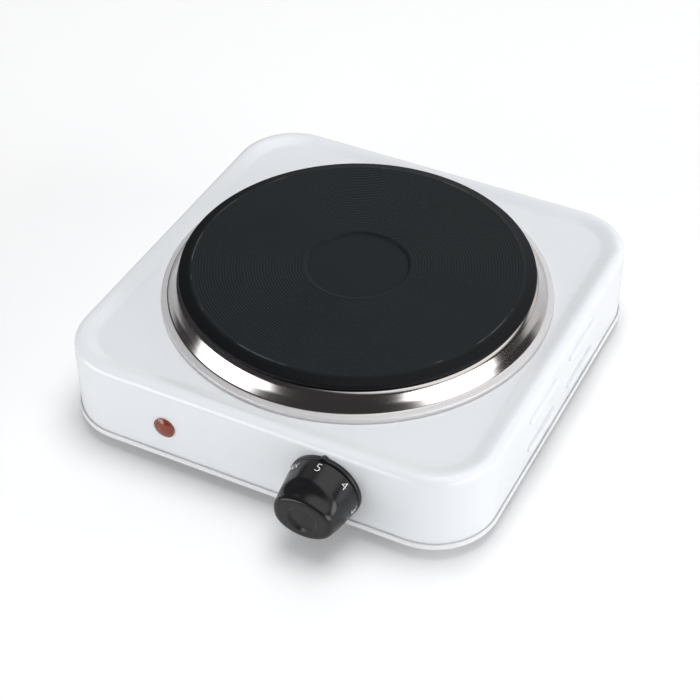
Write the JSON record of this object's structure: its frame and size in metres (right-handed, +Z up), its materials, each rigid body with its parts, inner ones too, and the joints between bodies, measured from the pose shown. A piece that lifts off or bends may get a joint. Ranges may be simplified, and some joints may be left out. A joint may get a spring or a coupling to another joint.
{
  "type": "hot plate burner",
  "caption": "Square tabletop hot plate: round cast cooking plate in a steel trim ring on a low white case, with a turning thermostat dial and a pilot lamp.",
  "frame": {"origin": "on the table, under the middle of the whole footprint with the knob and the cable gland included", "axes": "+Z up out of the cooking plate, -Y out of the front wall with the dial, +X to the right seen from the front"},
  "size_m": [0.2334, 0.2584, 0.066],
  "materials": {
    "enamel": "glossy white enamel",
    "pan_enamel": "pale grey coated sheet steel",
    "plate_iron": "turned and blackened",
    "trim_steel": "bright pressed stainless steel",
    "zinc_steel": "zinc plated",
    "heater_sheath": "oxidised sheath",
    "spring_steel": "bare spring steel",
    "knob_black": "moulded, gloss",
    "bezel_black": "moulded, satin",
    "brass_turned": "turned",
    "contact_silver": "silver contact",
    "steatite": "unglazed",
    "lens_red": "translucent",
    "lamp_white": "moulded",
    "bulb_glass": "clear",
    "gland_black": "moulded",
    "block_white": "moulded",
    "foot_rubber": "moulded"
  },
  "bodies": {
    "base": {"top_shell": "enamel", "base_pan": "pan_enamel", "hotplate": "plate_iron", "trim_ring": "trim_steel", "corner_gussets": "zinc_steel", "foot_screws": "zinc_steel", "element_cover": "zinc_steel", "clamp_strap": "zinc_steel", "plate_stud": "zinc_steel", "stud_washer": "zinc_steel", "stud_nut": "zinc_steel", "thermostat_bracket": "zinc_steel", "thermostat_screws": "zinc_steel", "stack_rivet": "zinc_steel", "earth_stud": "zinc_steel", "heater_tubes": "heater_sheath", "lamp_clip": "spring_steel", "bimetal_strip": "spring_steel", "index_bezel": "bezel_black", "thermostat_bush": "brass_turned", "adjust_blade": "brass_turned", "moving_blade": "brass_turned", "terminal_screws": "brass_turned", "earth_nut": "brass_turned", "contact_points": "contact_silver", "ceramic_stack": "steatite", "lamp_lens": "lens_red", "lamp_body": "lamp_white", "neon_bulb": "bulb_glass", "cable_gland": "gland_black", "terminal_block": "block_white", "foot_front_left": "foot_rubber", "foot_rear_left": "foot_rubber", "foot_front_right": "foot_rubber", "foot_rear_right": "foot_rubber"},
    "dial": {"knob": "knob_black", "knob_clip": "spring_steel", "thermostat_shaft": "zinc_steel"},
    "pusher": {"adjuster_pin": "steatite"}
  },
  "joints": [
    {"name": "dial_turn", "type": "hinge", "parent": "base", "child": "dial", "pos_m": [0.0403, -0.1042, 0.0272], "axis": [0, 1, 0], "range_deg": [-250, 50]},
    {"name": "pusher_feed", "type": "slide", "parent": "base", "child": "pusher", "axis": [0, 1, 0], "range_m": [-0.0007, 0.00014]}
  ],
  "couplings": [
    {"joint": "pusher_feed", "follows": "dial_turn", "m_per_rad": 0.000159}
  ]
}
